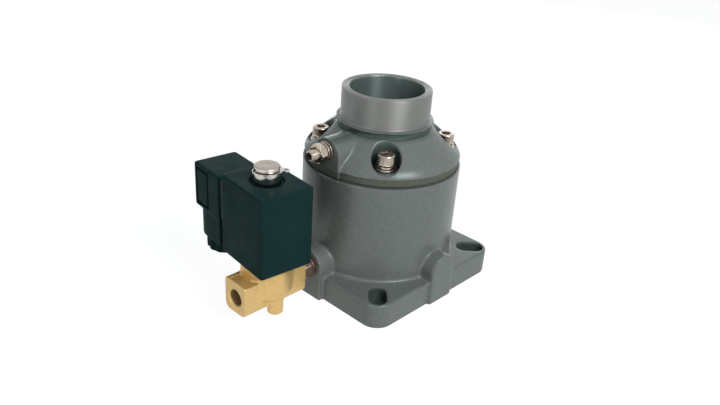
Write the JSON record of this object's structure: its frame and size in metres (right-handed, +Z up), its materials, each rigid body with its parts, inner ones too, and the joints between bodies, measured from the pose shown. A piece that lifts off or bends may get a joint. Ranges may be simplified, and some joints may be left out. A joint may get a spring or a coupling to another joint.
{
  "type": "air intake valve",
  "caption": "Flanged intake valve for a screw compressor: cast body, conical cover with a pipe neck, spring-loaded plate on a servo piston, and a brass pilot solenoid valve at the side.",
  "frame": {"origin": "centre of the flange's mounting face, on the axis of the intake bore", "axes": "+Z up the intake bore, away from the mounting face; -X towards the solenoid valve; -Y towards the plain side boss"},
  "size_m": [0.1674, 0.1124, 0.121],
  "materials": {
    "casting": "satin die-cast grey",
    "machined": "fine turned",
    "steel": "nickel plated, slightly warm",
    "bright": "bright plating",
    "brass": "forged, satin",
    "copper": "soft copper",
    "plastic": "fine grained black",
    "rubber": "smooth",
    "fibre": "flat gasket sheet"
  },
  "bodies": {
    "housing": {"armature_tube": "steel", "bleed_flat_washer": "steel", "bleed_lock_nut": "steel", "bleed_screw": "steel", "bleed_spring_washer": "steel", "coil": "plastic", "coil_seal": "rubber", "cover": "casting", "cover_gasket": "fibre", "cover_screw_1": "steel", "cover_screw_2": "steel", "cover_screw_3": "steel", "cover_screw_4": "steel", "fixed_core": "bright", "flange_seal": "rubber", "flat_washer_1": "steel", "flat_washer_2": "steel", "flat_washer_3": "steel", "flat_washer_4": "steel", "gland_nut": "plastic", "gland_seal": "rubber", "hex_nipple": "steel", "nipple_washer_inner": "copper", "nipple_washer_outer": "copper", "plug_gasket": "rubber", "plug_housing": "plastic", "plug_screw": "steel", "plunger_spring": "steel", "retaining_clip": "bright", "retaining_sleeve": "bright", "return_spring": "steel", "solenoid_body": "brass", "spring_washer_1": "steel", "spring_washer_2": "steel", "spring_washer_3": "steel", "spring_washer_4": "steel", "terminal_blade_1": "steel", "terminal_blade_2": "steel", "terminal_blade_3": "steel", "terminal_insert": "plastic", "tube_seal": "rubber", "valve_body": "casting"},
    "valve": {"valve_plate": "machined", "plate_seal": "rubber", "servo_piston": "machined", "piston_seal": "rubber", "plate_washer": "steel", "plate_nut": "steel"},
    "plunger": {"plunger": "steel", "plunger_seal": "rubber"}
  },
  "joints": [
    {"name": "valve_slide", "type": "slide", "parent": "housing", "child": "valve", "axis": [0, 0, -1], "range_m": [0, 0.012], "stiffness_N_per_m": 400, "springref_m": -0.01, "deforming": ["return_spring"]},
    {"name": "plunger_slide", "type": "slide", "parent": "housing", "child": "plunger", "axis": [0, 0, 1], "range_m": [0, 0.0016], "stiffness_N_per_m": 300, "springref_m": -0.003, "deforming": ["plunger_spring"]}
  ]
}
